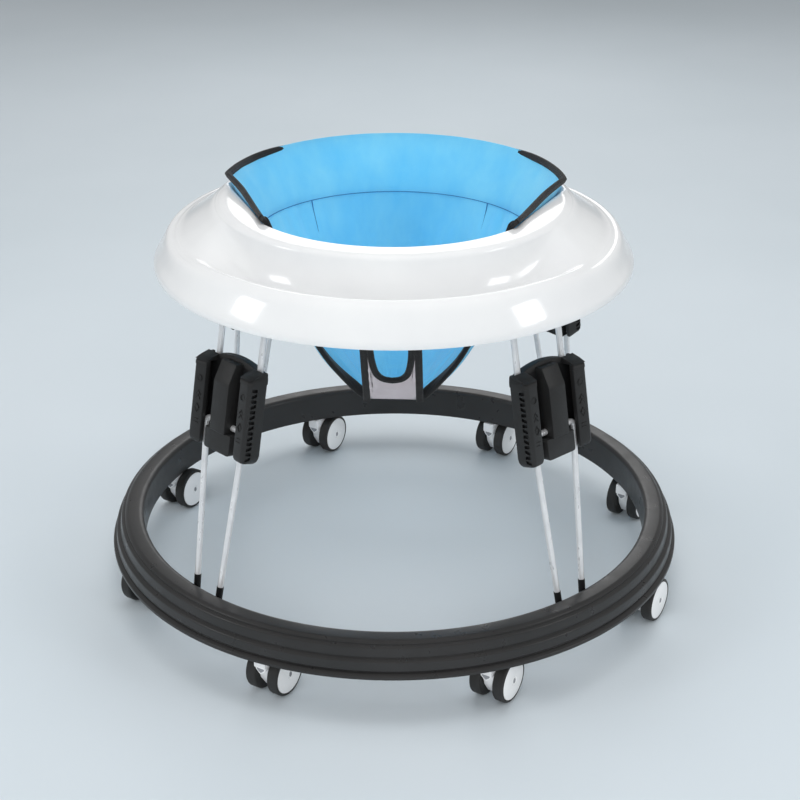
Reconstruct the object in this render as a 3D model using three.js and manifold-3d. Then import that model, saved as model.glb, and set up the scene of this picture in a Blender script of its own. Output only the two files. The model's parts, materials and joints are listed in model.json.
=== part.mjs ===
// A baby walker: a padded fabric seat in a round tray, held by four telescoping wire legs over a
// round bumper ring on twin-wheel casters. Millimetres, +Z up, origin on the floor under the
// ring's centre; the child faces -Y. Standalone three.js example.
import * as THREE from "three";
import { mergeVertices } from "three/addons/utils/BufferGeometryUtils.js";
import Module from "manifold-3d";

const wasm = await Module();
wasm.setup();

// ---- Driving dimensions ----
const GAP = 0.3; // between touching parts
const TAU = 2 * Math.PI;

const RING_R = 345; // bumper ring's outer lip
const RING_IN_R = 306; // its bore
const RING_Z = [55, 94]; // underside and top
const RING_WALL = 3;
const RING_SEGMENTS = 56;

const CASTER_COUNT = 8;
const CASTER_R = 320; // swivel axes stand on this circle
const CASTER_TRAIL = 12; // swivel axis to axle
const CASTER_HEADING = 151; // degrees, direction of every axle at rest
const WHEEL_R = 26;
const WHEEL_W = 14;
const WHEEL_INNER_X = 7.3; // inner face of a wheel from the fork's middle plane
const FORK_W = 14;
const FORK_R = 22;
const AXLE_R = 2.5;
const STEM_R = 4;
const CROWN_Z = 50; // shoulder of a fork, under the ring
const STEM_TOP = 84;
const BOSS_R = 8;

const WIRE_R = 3.5;
const BEND_R = 9;
const LEG_AZIMUTHS = { front_right: -45, rear_right: 44, rear_left: 136, front_left: 228 };
const LEG_LEAN = THREE.MathUtils.degToRad(10.6);
const LEG_ORIGIN = [298, 70]; // radius and height of a leg's own origin, low on its centre line
const FOOT_HINGE = { v: -12.5, w: 18 }; // hinge line of a lower frame, in the leg's own frame
const FOOT_HALF = 17.5; // half spacing of the feet
const FOOT_PIN_END = 34; // a foot pin ends this far from the leg's middle
const CROSSBAR = { half: 31.5, v: 211.6 }; // top of the lower frame
const UPPER = { half: 34, v: 356, w: -11, socket_v: 246 }; // upper frame and its blind sockets

const BLOCK_V = [182, 281]; // height adjuster
const BLOCK_HALF = 41.8;
const BLOCK_ARCH = 7;
const PLATE_W = [-16.5, -5.5];
const POCKET_HALF = 38.5;
const SLOT_U = 12.5; // inner side of the two slots that the lower frame shows through
const WEB = { half: 21, v: 206 }; // solid foot of the block, between the lower frame's legs
const FRONT_W = [5, 12];
const GRIP = { in_u: 28.3, side_u: 42.1, out_u: 46.5, back_w: -12.5, front_w: 13, v: [179, 283] };
const GRIP_CAP = 7; // drop of a grip's top towards its front
const GRIP_TOE = 5;

const TRAY_R = 275;
const TRAY_Z = 406; // bottom edge of the skirt
const TRAY_WALL = 3.4;
const HOLE_R = 170;
const RIM = 4; // rounding of the hole's edge
const COLLAR_Z = 480;
const LAND_R = 198; // outer edge of the flat collar
const FUNNEL = { r: 193, drop: 42, azimuth: 7.5 }; // the collar's slope under the fabric, full past this azimuth
const RECESS_FLOOR_Z = 436;
const RECESS_HALF_ANGLE = 66; // degrees each side of the front
const TRAY_SEGMENTS = 48;
const POST = { half_u: 20, half_r: 13, z: 430 }; // mounting posts for the hinge brackets

const CLOTH = 4; // thickness of the seat's padded fabric
const SEAT_CLEAR = 2.2; // between the fabric and the collar
const SEAT_EDGE_AZIMUTH = -37.5; // degrees, where the seat's front edges cross the tray's hole
const SEAT_RISE = [3.5, 12]; // fabric's edge above the collar, at its front ends and at the back
const CROTCH = { half: 34, y: -12, z: 234 };
const FRONT_PANEL = {
  half: 36, strap: 12, notch: 42, foot_y: -18, foot_z: 232, top_y: -152, top_z: 464,
};

// ---- Materials ----
const finish = (color, roughness, metalness = 0) =>
  new THREE.MeshStandardMaterial({ color, roughness, metalness });
const FINISHES = {
  black: () => finish(0x3c3c3e, 0.45),
  block: () => finish(0x2f3032, 0.55),
  white: () => finish(0xf3f3f3, 0.2),
  caster: () => finish(0xe8e9ea, 0.35),
  tyre: () => finish(0x1d1e20, 0.6),
  steel: () => finish(0xc9ccd0, 0.25, 1),
  fabric: () => finish(0x62b2ee, 0.9),
  crotch: () => finish(0xd6cdd2, 0.9),
};

// ---- Geometry helpers ----
function bare(geometry) {
  const g = geometry.index ? geometry.toNonIndexed() : geometry.clone();
  g.deleteAttribute("normal");
  g.deleteAttribute("uv");
  return mergeVertices(g, 1e-4);
}

function solid(geometry) {
  const g = bare(geometry);
  return new wasm.Manifold(
    new wasm.Mesh({
      numProp: 3,
      vertProperties: new Float32Array(g.attributes.position.array),
      triVerts: new Uint32Array(g.index.array),
    }),
  );
}

function geometryOf(manifold) {
  const mesh = manifold.getMesh();
  const g = new THREE.BufferGeometry();
  g.setAttribute("position", new THREE.BufferAttribute(mesh.vertProperties, 3));
  g.setIndex(new THREE.BufferAttribute(mesh.triVerts, 1));
  g.computeVertexNormals();
  return g;
}

const join = (...solids) => solids.reduce((a, b) => a.add(b));
const cut = (from, ...solids) => solids.reduce((a, b) => a.subtract(b), from);

function box([x0, x1], [y0, y1], [z0, z1]) {
  const g = new THREE.BoxGeometry(x1 - x0, y1 - y0, z1 - z0);
  g.translate((x0 + x1) / 2, (y0 + y1) / 2, (z0 + z1) / 2);
  return g;
}

// A rod between two heights on an axis parallel to Z.
function rodZ(radius, z0, z1, x = 0, y = 0, sides = 16) {
  const g = new THREE.CylinderGeometry(radius, radius, z1 - z0, sides);
  g.rotateX(Math.PI / 2);
  g.translate(x, y, (z0 + z1) / 2);
  return g;
}

function rodX(radius, x0, x1, y, z, sides = 16) {
  const g = new THREE.CylinderGeometry(radius, radius, x1 - x0, sides);
  g.rotateZ(Math.PI / 2);
  g.translate((x0 + x1) / 2, y, z);
  return g;
}

function rodY(radius, y0, y1, x, z, sides = 16) {
  const g = new THREE.CylinderGeometry(radius, radius, y1 - y0, sides);
  g.translate(x, (y0 + y1) / 2, z);
  return g;
}

// A closed surface of revolution about Z whose profile may change with the azimuth.
function revolve(profileAt, segments) {
  const rings = Array.from({ length: segments }, (_, i) => profileAt((i / segments) * TAU));
  const count = rings[0].length;
  const positions = [];
  const index = [];
  rings.forEach((ring, i) => {
    const a = (i / segments) * TAU;
    ring.forEach(([r, z]) => positions.push(r * Math.cos(a), r * Math.sin(a), z));
    ring.forEach((_, j) => {
      const here = i * count;
      const next = ((i + 1) % segments) * count;
      const k = (j + 1) % count;
      index.push(here + j, next + j, next + k, here + j, next + k, here + k);
    });
  });
  const g = new THREE.BufferGeometry();
  g.setAttribute("position", new THREE.Float32BufferAttribute(positions, 3));
  g.setIndex(index);
  return g;
}

// A sheet of even thickness over the surface point(s, t), with s and t from 0 to 1.
function sheet(point, columns, rows, thickness) {
  const at = (i, j) => point(i / columns, j / rows);
  const normal = (i, j) => {
    const s = new THREE.Vector3().subVectors(
      at(Math.min(i + 1, columns), j),
      at(Math.max(i - 1, 0), j),
    );
    const t = new THREE.Vector3().subVectors(
      at(i, Math.min(j + 1, rows)),
      at(i, Math.max(j - 1, 0)),
    );
    return s.cross(t).normalize().multiplyScalar(thickness / 2);
  };
  const positions = [];
  const index = [];
  const across = rows + 1;
  const layer = (columns + 1) * across;
  [1, -1].forEach((side) => {
    for (let i = 0; i <= columns; i++)
      for (let j = 0; j <= rows; j++)
        positions.push(...at(i, j).addScaledVector(normal(i, j), side).toArray());
  });
  const quad = (a, b, c, d) => index.push(a, b, c, a, c, d);
  const top = (i, j) => i * across + j;
  const bottom = (i, j) => layer + top(i, j);
  for (let i = 0; i < columns; i++)
    for (let j = 0; j < rows; j++) {
      quad(top(i, j), top(i + 1, j), top(i + 1, j + 1), top(i, j + 1));
      quad(bottom(i, j), bottom(i, j + 1), bottom(i + 1, j + 1), bottom(i + 1, j));
    }
  for (let i = 0; i < columns; i++) {
    quad(bottom(i, 0), bottom(i + 1, 0), top(i + 1, 0), top(i, 0));
    quad(top(i, rows), top(i + 1, rows), bottom(i + 1, rows), bottom(i, rows));
  }
  for (let j = 0; j < rows; j++) {
    quad(top(0, j), top(0, j + 1), bottom(0, j + 1), bottom(0, j));
    quad(bottom(columns, j), bottom(columns, j + 1), top(columns, j + 1), top(columns, j));
  }
  const g = new THREE.BufferGeometry();
  g.setAttribute("position", new THREE.Float32BufferAttribute(positions, 3));
  g.setIndex(index);
  return g;
}

// A wire's centre line: straight runs between corners that are rounded to one bend radius.
class BentWire extends THREE.Curve {
  constructor(corners, bend = BEND_R, steps = 3) {
    super();
    const points = corners.map((c) => new THREE.Vector3(...c));
    this.stations = [points[0]];
    for (let i = 1; i < points.length - 1; i++) {
      const back = new THREE.Vector3().subVectors(points[i - 1], points[i]).normalize();
      const on = new THREE.Vector3().subVectors(points[i + 1], points[i]).normalize();
      const half = back.angleTo(on) / 2;
      const reach = bend / Math.tan(half);
      const arc = new THREE.QuadraticBezierCurve3(
        points[i].clone().addScaledVector(back, reach),
        points[i],
        points[i].clone().addScaledVector(on, reach),
      );
      this.stations.push(...arc.getPoints(steps));
    }
    this.stations.push(points.at(-1));
  }
  getPoint(t, target = new THREE.Vector3()) {
    const runs = this.stations.length - 1;
    const i = Math.min(Math.floor(t * runs), runs - 1);
    return target.lerpVectors(this.stations[i], this.stations[i + 1], t * runs - i);
  }
  getUtoTmapping(u) {
    return u;
  }
}

function wire(corners, sides = 8, bend = BEND_R) {
  const path = new BentWire(corners, bend);
  const section = new THREE.Shape();
  for (let i = 0; i < sides; i++) {
    const a = (i / sides) * TAU;
    const corner = [WIRE_R * Math.cos(a), WIRE_R * Math.sin(a)];
    if (i) section.lineTo(...corner);
    else section.moveTo(...corner);
  }
  section.closePath();
  const steps = path.stations.length - 1;
  return new THREE.ExtrudeGeometry(section, { steps, extrudePath: path, bevelEnabled: false });
}

const root = new THREE.Group();

function add(parent, name, geometry, kind) {
  const mesh = new THREE.Mesh(geometry, FINISHES[kind]());
  mesh.name = name;
  parent.add(mesh);
}

// ---- Bumper ring ----
const polar = (radius, degrees) => {
  const a = THREE.MathUtils.degToRad(degrees);
  return [radius * Math.cos(a), radius * Math.sin(a)];
};

function ringShell() {
  const [z0, z1] = RING_Z;
  const t = RING_WALL;
  const outline = [
    [RING_R, z0], [RING_R, z0 + 4], [RING_R - 3, z0 + 6], [RING_R - 3.5, z0 + 15],
    [RING_R - 6.5, z0 + 17], [RING_R - 7.5, z0 + 27], [RING_R - 11, z0 + 29.5],
    [RING_R - 13, z1 - 3], [RING_R - 17, z1], [RING_IN_R + 4, z1], [RING_IN_R, z1 - 3],
    [RING_IN_R, z0], [RING_IN_R + t, z0], [RING_IN_R + t, z1 - 5.5], [RING_IN_R + 6, z1 - t],
    [RING_R - 19, z1 - t], [RING_R - 16, z1 - 6], [RING_R - 14, z0 + 29],
    [RING_R - 8, z0 + 14], [RING_R - t, z0],
  ];
  return revolve(() => outline, RING_SEGMENTS);
}

// A leg's own frame: u along the ring, v up the leg, w square to it and outwards.
function legMatrix(azimuth) {
  const a = THREE.MathUtils.degToRad(azimuth);
  const out = new THREE.Vector3(Math.cos(a), Math.sin(a), 0);
  const up = new THREE.Vector3(0, 0, 1);
  const v = out.clone().multiplyScalar(-Math.sin(LEG_LEAN)).addScaledVector(up, Math.cos(LEG_LEAN));
  const w = out.clone().multiplyScalar(Math.cos(LEG_LEAN)).addScaledVector(up, Math.sin(LEG_LEAN));
  const u = new THREE.Vector3().crossVectors(v, w);
  const origin = out.clone().multiplyScalar(LEG_ORIGIN[0]).setZ(LEG_ORIGIN[1]);
  return new THREE.Matrix4().makeBasis(u, v, w).setPosition(origin);
}

function baseRing() {
  let ring = solid(ringShell());
  const ceiling = RING_Z[1] - RING_WALL + 1;
  for (let i = 0; i < CASTER_COUNT; i++) {
    const [x, y] = polar(CASTER_R, ((i + 0.5) * 360) / CASTER_COUNT);
    ring = ring.add(solid(rodZ(BOSS_R, RING_Z[0] + 3, ceiling, x, y, 12)));
    ring = ring.subtract(solid(rodZ(STEM_R + GAP, 0, STEM_TOP + 1, x, y, 12)));
  }
  for (const azimuth of Object.values(LEG_AZIMUTHS))
    for (const side of [-1, 1]) {
      const hinge = new THREE.Vector3(0, FOOT_HINGE.v, FOOT_HINGE.w);
      const flat = new THREE.Matrix4().makeRotationZ(THREE.MathUtils.degToRad(azimuth));
      const place = hinge.clone().applyMatrix4(legMatrix(0));
      const u = (n) => side * n;
      const span = (a, b) => [Math.min(u(a), u(b)), Math.max(u(a), u(b))];
      const r = place.x;
      const z = place.z;
      const lug = box([r - 7, r + 7], span(FOOT_HALF + 6, FOOT_PIN_END + 3), [z - 5.5, ceiling]);
      const bore = rodY(WIRE_R + 0.5, ...span(FOOT_HALF, FOOT_PIN_END + GAP), r, z, 12);
      const notch = box([RING_IN_R - 5, RING_IN_R + 6], span(FOOT_HALF - 6, FOOT_HALF + 6), [0, z + 6]);
      ring = ring.add(solid(lug.applyMatrix4(flat)));
      ring = ring.subtract(solid(bore.applyMatrix4(flat)));
      ring = ring.subtract(solid(notch.applyMatrix4(flat)));
    }
  return geometryOf(ring);
}
add(root, "base_ring", baseRing(), "black");

// ---- Casters ----
// Their own frame: X along the axle, Y towards the trailing side, Z up, swivel axis at the origin.
function forkGeometry() {
  const side = new THREE.Shape();
  side.absarc(-CASTER_TRAIL, WHEEL_R, FORK_R, Math.PI * 0.45, Math.PI * 1.62);
  side.lineTo(STEM_R + 3, WHEEL_R + 2);
  side.lineTo(STEM_R + 3, CROWN_Z + 2);
  side.lineTo(-6, CROWN_Z + 2);
  const body = new THREE.ExtrudeGeometry(side, {
    depth: FORK_W - 4,
    steps: 1,
    curveSegments: 6,
    bevelEnabled: true,
    bevelThickness: 1.7,
    bevelSize: 1.7,
    bevelOffset: -1.7,
    bevelSegments: 1,
  });
  body.translate(0, 0, -(FORK_W - 4) / 2);
  body.applyMatrix4(new THREE.Matrix4().makeBasis(
    new THREE.Vector3(0, 1, 0), new THREE.Vector3(0, 0, 1), new THREE.Vector3(1, 0, 0)));
  const fork = join(
    solid(body),
    solid(rodZ(7.5, CROWN_Z - 1, RING_Z[0] + 2.6, 0, 0, 12)),
    solid(rodZ(STEM_R, CROWN_Z, STEM_TOP, 0, 0, 12)),
  );
  const bore = rodX(AXLE_R + GAP, -FORK_W, FORK_W, -CASTER_TRAIL, WHEEL_R, 8);
  return geometryOf(cut(fork, solid(bore)));
}

function wheelGeometry() {
  const w = WHEEL_W;
  const bore = AXLE_R + GAP;
  const profile = [
    [0, w], [WHEEL_R * 0.72, w], [WHEEL_R, w - 3.5], [WHEEL_R, 3], [WHEEL_R - 2.5, 0],
    [bore, 0], [bore, w - 3], [0, w - 3],
  ];
  const points = profile.map(([r, x]) => new THREE.Vector2(r, x)).reverse();
  const g = new THREE.LatheGeometry(points, 16);
  g.rotateZ(-Math.PI / 2);
  g.rotateX(Math.PI / 2);
  return g;
}

for (let i = 0; i < CASTER_COUNT; i++) {
  const caster = new THREE.Group();
  const [x, y] = polar(CASTER_R, ((i + 0.5) * 360) / CASTER_COUNT);
  caster.position.set(x, y, 0);
  caster.rotation.z = THREE.MathUtils.degToRad(CASTER_HEADING);
  const name = `caster_${i + 1}`;
  const reach = WHEEL_INNER_X + WHEEL_W - 4;
  add(caster, `${name}_fork`, forkGeometry(), "caster");
  add(caster, `${name}_axle`, rodX(AXLE_R, -reach, reach, -CASTER_TRAIL, WHEEL_R, 8), "steel");
  for (const [label, turn, side] of [["left", Math.PI, -1], ["right", 0, 1]]) {
    const wheel = new THREE.Group();
    wheel.position.set(side * WHEEL_INNER_X, -CASTER_TRAIL, WHEEL_R);
    wheel.rotation.z = turn;
    add(wheel, `${name}_wheel_${label}`, wheelGeometry(), "tyre");
    caster.add(wheel);
  }
  root.add(caster);
}

// ---- Legs ----
function lowerFrame() {
  const { v, w } = FOOT_HINGE;
  const half = [
    [CROSSBAR.half, CROSSBAR.v, 0], [FOOT_HALF, v, 0], [FOOT_HALF, v, w], [FOOT_PIN_END, v, w],
  ];
  const mirrored = half.map(([u, y, z]) => [-u, y, z]).reverse();
  return wire([...mirrored, ...half], 8, 6);
}

function upperFrame() {
  const { half, v, w, socket_v: bottom } = UPPER;
  return wire([[-half, bottom + 1, w], [-half, v, w], [half, v, w], [half, bottom + 1, w]]);
}

function adjusterBody() {
  const [v0, v1] = BLOCK_V;
  const outline = new THREE.Shape();
  outline.moveTo(-BLOCK_HALF, v0 + 6);
  outline.lineTo(-BLOCK_HALF + 6, v0);
  outline.lineTo(BLOCK_HALF - 6, v0);
  outline.lineTo(BLOCK_HALF, v0 + 6);
  outline.lineTo(BLOCK_HALF, v1 - 2);
  outline.quadraticCurveTo(0, v1 + 2 * BLOCK_ARCH, -BLOCK_HALF, v1 - 2);
  const plate = new THREE.ExtrudeGeometry(outline, {
    depth: PLATE_W[1] - PLATE_W[0], bevelEnabled: false, steps: 1, curveSegments: 8,
  });
  plate.translate(0, 0, PLATE_W[0]);
  const overlap = 1;
  let body = join(
    solid(plate),
    solid(box([-WEB.half, WEB.half], [v0, WEB.v], [PLATE_W[1] - overlap, FRONT_W[1] - 2])),
    solid(box([-SLOT_U, SLOT_U], [WEB.v - overlap, v1], FRONT_W)),
    solid(box([-SLOT_U, SLOT_U], [v1 - 4, v1 + 2], [PLATE_W[1] - overlap, FRONT_W[1] - 2])),
  );
  for (const side of [-1, 1]) {
    const wall = [side * POCKET_HALF, side * BLOCK_HALF].sort((a, b) => a - b);
    const { half, w, socket_v: floor } = UPPER;
    body = body.add(solid(box(wall, [v0 + 6, v1 - 4], [PLATE_W[1] - overlap, FRONT_W[0] - 0.5])));
    body = body.subtract(solid(rodY(WIRE_R + 0.5, floor, v1 + 20, side * half, w, 12)));
  }
  return geometryOf(body);
}

// A grip wraps the block's front corner; its top slopes down to the front and its bottom up.
function gripGeometry(side) {
  const { in_u: inner, side_u: wall, out_u: outer, back_w: back, front_w: front, v } = GRIP;
  const section = new THREE.Shape([
    [inner, FRONT_W[0] + GAP], [wall, FRONT_W[0] + GAP], [wall, back], [outer, back],
    [outer + 1, front - 5], [outer - 3, front], [inner, front - 2],
  ].map(([u, w]) => new THREE.Vector2(side * u, w)));
  const bar = new THREE.ExtrudeGeometry(section, {
    depth: v[1] - v[0], bevelEnabled: false, steps: 1,
  });
  bar.rotateX(Math.PI / 2);
  bar.translate(0, v[1], 0);
  const place = bar.attributes.position;
  const middle = (v[0] + v[1]) / 2;
  for (let i = 0; i < place.count; i++) {
    const forward = (place.getZ(i) - back) / (front - back);
    const slope = place.getY(i) > middle ? -GRIP_CAP : GRIP_TOE;
    place.setY(i, place.getY(i) + slope * forward);
  }
  return bar;
}

for (const [place, azimuth] of Object.entries(LEG_AZIMUTHS)) {
  const leg = new THREE.Group();
  leg.applyMatrix4(legMatrix(azimuth));
  add(leg, `lower_frame_${place}`, lowerFrame(), "steel");
  add(leg, `upper_frame_${place}`, upperFrame(), "steel");
  add(leg, `adjuster_body_${place}`, adjusterBody(), "block");
  add(leg, `grip_right_${place}`, gripGeometry(1), "block");
  add(leg, `grip_left_${place}`, gripGeometry(-1), "block");
  root.add(leg);
}

// ---- Tray ----
// How far an azimuth is into the front recess: 1 across the front, 0 at the sides and the back.
function recessShare(azimuth) {
  const off = Math.abs(THREE.MathUtils.euclideanModulo(azimuth + Math.PI / 2 + Math.PI, TAU) - Math.PI);
  return 1 - THREE.MathUtils.smoothstep(THREE.MathUtils.radToDeg(off), 40, RECESS_HALF_ANGLE);
}

// The collar's inner side at an azimuth: it falls from radius r to radius hole by drop. The seat's
// front edge runs straight from the hole's rim to the corner, and the slope grows behind it.
function funnelAt(azimuth) {
  const least = HOLE_R + RIM;
  const across = Math.abs(THREE.MathUtils.euclideanModulo(azimuth + Math.PI / 2, TAU) - Math.PI);
  const degrees = 90 - THREE.MathUtils.radToDeg(across);
  const share = THREE.MathUtils.smoothstep(degrees, SEAT_EDGE_AZIMUTH, FUNNEL.azimuth);
  let r = FUNNEL.r;
  if (degrees < SEAT_EDGE_AZIMUTH) r = least;
  else if (degrees < FUNNEL.azimuth) {
    const start = new THREE.Vector2(...polar(least, SEAT_EDGE_AZIMUTH));
    const end = new THREE.Vector2(...polar(FUNNEL.r, FUNNEL.azimuth));
    const run = end.clone().sub(start);
    r = start.cross(run) / new THREE.Vector2(...polar(1, degrees)).cross(run);
  }
  const drop = THREE.MathUtils.lerp(RIM, FUNNEL.drop, share);
  return { r, hole: Math.min(HOLE_R, r - RIM), share, drop };
}

// The tray's upper surface from the skirt's edge in to the foot of the hole's wall.
function trayTop(azimuth) {
  const share = recessShare(azimuth);
  const funnel = funnelAt(azimuth);
  const floor = RECESS_FLOOR_Z - COLLAR_Z;
  const at = (r, front, side) => [r, COLLAR_Z + THREE.MathUtils.lerp(side, front, share)];
  const toward = (k) => THREE.MathUtils.lerp(LAND_R + 3, 240, k);
  return [
    [TRAY_R, TRAY_Z], [TRAY_R - 1, TRAY_Z + 8], at(268, -54, -56), at(259, -39, -40),
    at(249, -31, -37), at(toward(1), -33, -33), at(toward(0.88), floor + 2, -30),
    at(toward(0.62), floor, -22), at(toward(0.36), floor + 1, -14), at(toward(0.16), -27, -7),
    at(toward(0), -3, -3), [Math.max(LAND_R - 4, funnel.r + 3), COLLAR_Z], [funnel.r, COLLAR_Z],
    [funnel.hole, COLLAR_Z - funnel.drop], [funnel.hole, COLLAR_Z - funnel.drop - 24],
  ];
}

// The same surface moved by the wall's thickness to the inside of the moulding.
function trayUnderside(top) {
  return top.map(([r, z], i) => {
    const a = top[Math.max(i - 1, 0)];
    const b = top[Math.min(i + 1, top.length - 1)];
    const along = new THREE.Vector2(b[0] - a[0], b[1] - a[1]).normalize();
    if (i === 0) return [r - TRAY_WALL, z];
    if (i === top.length - 1) return [r + TRAY_WALL, z];
    return [r - along.y * TRAY_WALL, z + along.x * TRAY_WALL];
  });
}

function tray() {
  const shell = solid(revolve((a) => {
    const top = trayTop(a);
    return [...top, ...trayUnderside(top).reverse()];
  }, TRAY_SEGMENTS));
  const envelope = solid(revolve((a) => [...trayTop(a), [HOLE_R, TRAY_Z]], TRAY_SEGMENTS));
  const hinge = new THREE.Vector3(0, UPPER.v, UPPER.w).applyMatrix4(legMatrix(0));
  const { half_u: u, half_r: r, z } = POST;
  return geometryOf(Object.values(LEG_AZIMUTHS).reduce((whole, azimuth) => {
    const post = box([hinge.x - r, hinge.x + r], [-u, u], [z, COLLAR_Z]);
    post.rotateZ(THREE.MathUtils.degToRad(azimuth));
    return whole.add(solid(post).intersect(envelope));
  }, shell));
}
add(root, "tray", tray(), "white");

// A bracket hangs the crossbar of an upper frame from a post under the tray.
function trayBracket() {
  const hinge = new THREE.Vector3(0, UPPER.v, UPPER.w).applyMatrix4(legMatrix(0));
  const body = box([hinge.x - 9, hinge.x + 9], [-24, 24], [hinge.z - 7, POST.z - GAP]);
  const bore = rodY(WIRE_R + 0.5, -30, 30, hinge.x, hinge.z, 12);
  return geometryOf(cut(solid(body), solid(bore)));
}
for (const [place, azimuth] of Object.entries(LEG_AZIMUTHS)) {
  const seat = new THREE.Group();
  seat.rotation.z = THREE.MathUtils.degToRad(azimuth);
  add(seat, `tray_bracket_${place}`, trayBracket(), "block");
  root.add(seat);
}

// ---- Seat ----
// The fabric bucket: down the collar's slope, on inside the hole and forward to the crotch.
function seatPoint(s, t) {
  const degrees = THREE.MathUtils.lerp(SEAT_EDGE_AZIMUTH, 180 - SEAT_EDGE_AZIMUTH, s);
  const free = THREE.MathUtils.smoothstep(Math.abs(2 * s - 1), 0.45, 1);
  const funnel = funnelAt(THREE.MathUtils.degToRad(degrees));
  const slope = new THREE.Vector2(funnel.r - funnel.hole, funnel.drop).normalize();
  const rise = THREE.MathUtils.lerp(...SEAT_RISE, funnel.share) / slope.y;
  const at = (r, z) => new THREE.Vector3(...polar(r, degrees), z);
  const onSlope = (r, z, up) => {
    const lift = CLOTH / 2 + SEAT_CLEAR;
    return at(r - lift * slope.y + up * slope.x, z + lift * slope.x + up * slope.y);
  };
  const rim = onSlope(funnel.hole, COLLAR_Z - funnel.drop, 0);
  const end = new THREE.Vector3(CROTCH.half * (1 - 2 * s), CROTCH.y, CROTCH.z);
  const hang = (r, z, share) => at(r, z).lerp(rim.clone().lerp(end, share), free);
  const path = new THREE.CatmullRomCurve3([
    onSlope(funnel.r, COLLAR_Z, rise), onSlope(funnel.r, COLLAR_Z, 0), rim,
    hang(156, COLLAR_Z - funnel.drop - 32, 0.2), hang(143, 338, 0.5), hang(82, 268, 0.78), end,
  ]);
  return path.getPoint(t);
}
add(root, "seat_panel", sheet(seatPoint, 34, 14, CLOTH), "fabric");

// The front panel: two straps and the crotch piece between them, in one slanting plane.
function frontPanel() {
  const rise = FRONT_PANEL.top_z - FRONT_PANEL.foot_z;
  const run = FRONT_PANEL.foot_y - FRONT_PANEL.top_y;
  const length = Math.hypot(rise, run);
  const half = FRONT_PANEL.half;
  const notch = half - FRONT_PANEL.strap;
  const outline = new THREE.Shape();
  outline.moveTo(-half, 0);
  outline.lineTo(half, 0);
  outline.lineTo(half - 2, length);
  outline.lineTo(notch, length);
  outline.lineTo(notch - 2, FRONT_PANEL.notch + notch * 0.7);
  outline.quadraticCurveTo(notch - 3, FRONT_PANEL.notch, 0, FRONT_PANEL.notch);
  outline.quadraticCurveTo(3 - notch, FRONT_PANEL.notch, 2 - notch, FRONT_PANEL.notch + notch * 0.7);
  outline.lineTo(-notch, length);
  outline.lineTo(2 - half, length);
  outline.closePath();
  const panel = new THREE.ExtrudeGeometry(outline, {
    depth: CLOTH, bevelEnabled: false, steps: 1, curveSegments: 5,
  });
  panel.rotateX(Math.atan2(rise, -run));
  panel.translate(0, FRONT_PANEL.foot_y, FRONT_PANEL.foot_z);
  return panel;
}
add(root, "front_panel", frontPanel(), "crotch");

export default root;
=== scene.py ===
"""Looks of a baby walker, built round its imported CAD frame. Metres, +Z up, the child faces -Y."""

import json
import math

import bmesh
import bpy
from mathutils import Matrix, Vector, noise


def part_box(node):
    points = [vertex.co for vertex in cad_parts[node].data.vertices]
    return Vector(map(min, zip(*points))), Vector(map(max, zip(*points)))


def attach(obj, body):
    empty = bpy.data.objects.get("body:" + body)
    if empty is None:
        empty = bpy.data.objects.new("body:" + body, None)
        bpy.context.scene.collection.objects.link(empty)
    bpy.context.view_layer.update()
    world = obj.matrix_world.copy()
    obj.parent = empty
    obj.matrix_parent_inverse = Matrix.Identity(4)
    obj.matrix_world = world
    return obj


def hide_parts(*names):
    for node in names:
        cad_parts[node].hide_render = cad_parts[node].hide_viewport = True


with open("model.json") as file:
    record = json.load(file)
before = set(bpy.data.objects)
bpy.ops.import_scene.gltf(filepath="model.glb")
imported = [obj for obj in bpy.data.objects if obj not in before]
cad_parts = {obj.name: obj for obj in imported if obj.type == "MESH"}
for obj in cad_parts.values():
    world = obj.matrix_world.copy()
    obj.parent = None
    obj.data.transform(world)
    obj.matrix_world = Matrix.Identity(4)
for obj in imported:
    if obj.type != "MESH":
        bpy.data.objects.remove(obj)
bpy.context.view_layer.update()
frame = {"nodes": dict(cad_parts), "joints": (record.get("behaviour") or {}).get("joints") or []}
MM = 0.001
TAU = 2 * math.pi
JOINTS = {j["name"]: j for j in frame["joints"]}
LEGS = ("front_right", "rear_right", "rear_left", "front_left")
LEG_LEAN = math.radians(10.6)

ring_low, ring_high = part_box("base_ring")
tray_low, tray_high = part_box("tray")
RING_R = ring_high.x / MM
RING_Z = (ring_low.z / MM, ring_high.z / MM)
RING_WIDTH = 39
TRAY_R = tray_high.x / MM
TRAY_Z = tray_low.z / MM
COLLAR_Z = tray_high.z / MM
HOLE_R = TRAY_R - 105
LAND_R = HOLE_R + 28


# ---- Meshes ----
def smoothstep(x, low=0.0, high=1.0):
    t = min(1.0, max(0.0, (x - low) / (high - low)))
    return t * t * (3 - 2 * t)


def mix(a, b, t):
    return a + (b - a) * t


def shade(mesh, crease):
    """Smooth shading, sharp where faces meet at more than crease degrees."""
    mesh.polygons.foreach_set("use_smooth", [True] * len(mesh.polygons))
    mesh.set_sharp_from_angle(angle=math.radians(crease))


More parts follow.
